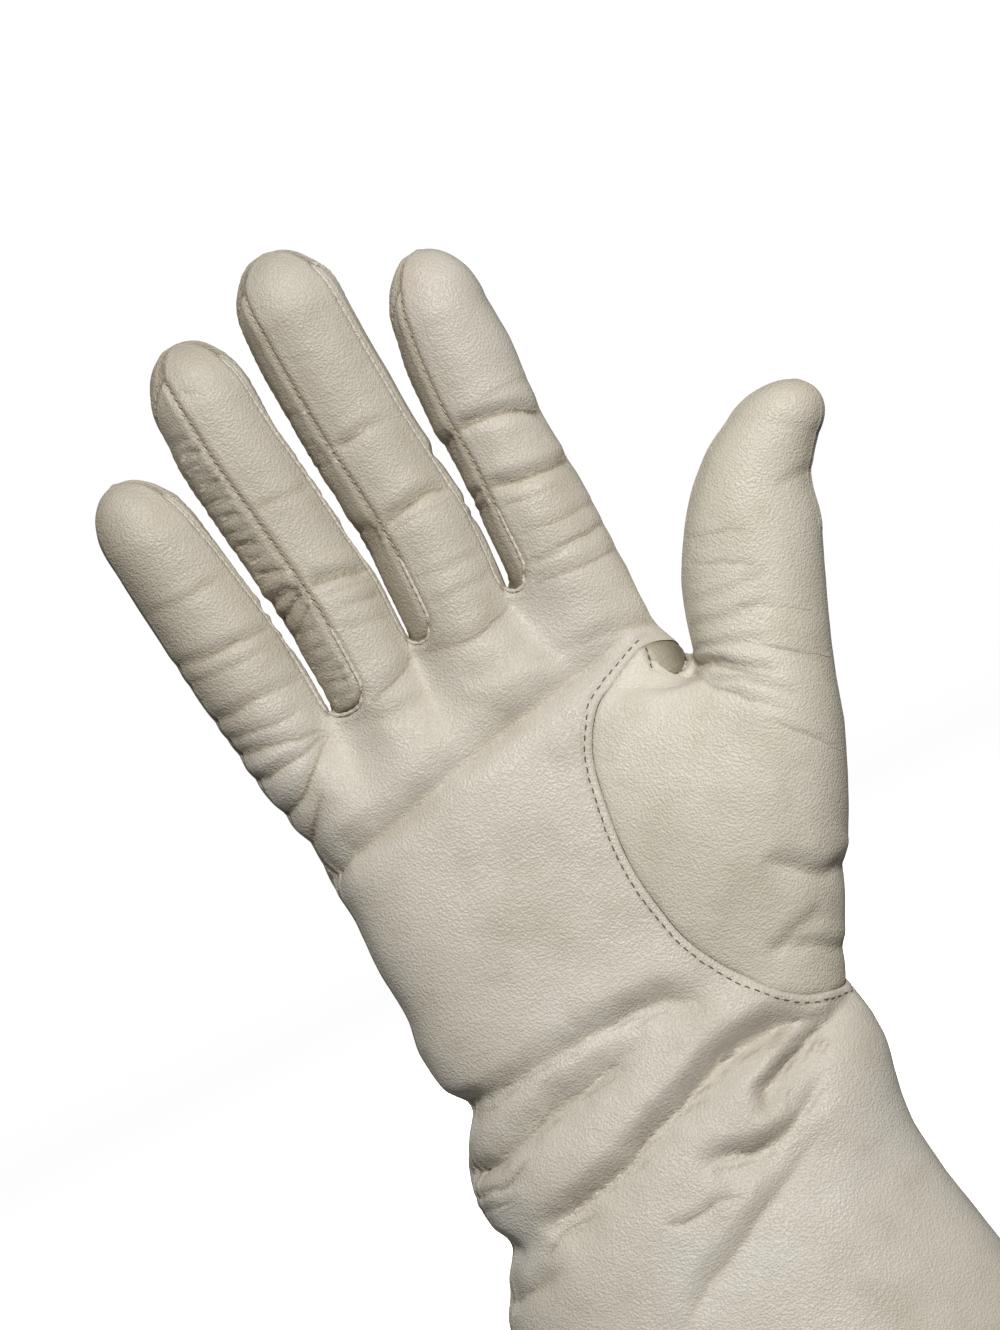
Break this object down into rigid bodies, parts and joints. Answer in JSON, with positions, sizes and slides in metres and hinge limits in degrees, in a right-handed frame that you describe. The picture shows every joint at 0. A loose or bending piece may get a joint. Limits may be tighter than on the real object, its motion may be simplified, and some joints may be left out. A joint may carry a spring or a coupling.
{
  "type": "lined leather dress glove",
  "caption": "Lined leather dress glove for the right hand, worn upright, with side strips between the fingers, a set-in thumb with a web gusset and soft folds at the wrist.",
  "frame": {"origin": "middle of the open end, where the arm goes in, level with the hem", "axes": "+Z from the open end towards the fingertips, -Y out of the palm, +X towards the thumb"},
  "size_m": [0.1456, 0.053, 0.2722],
  "materials": {
    "leather_trank": "soft satin lamb leather with fine grain, ivory",
    "leather_thumb": "soft satin lamb leather with fine grain, ivory",
    "leather_quirk": "soft satin lamb leather with fine grain, ivory",
    "leather_fourchette": "soft satin lamb leather with fine grain, ivory"
  },
  "bodies": {
    "root": {"trank": "leather_trank", "thumb": "leather_thumb", "thumb_quirk": "leather_quirk", "fourchette_little_ring": "leather_fourchette", "fourchette_ring_middle": "leather_fourchette", "fourchette_middle_index": "leather_fourchette"}
  },
  "joints": []
}
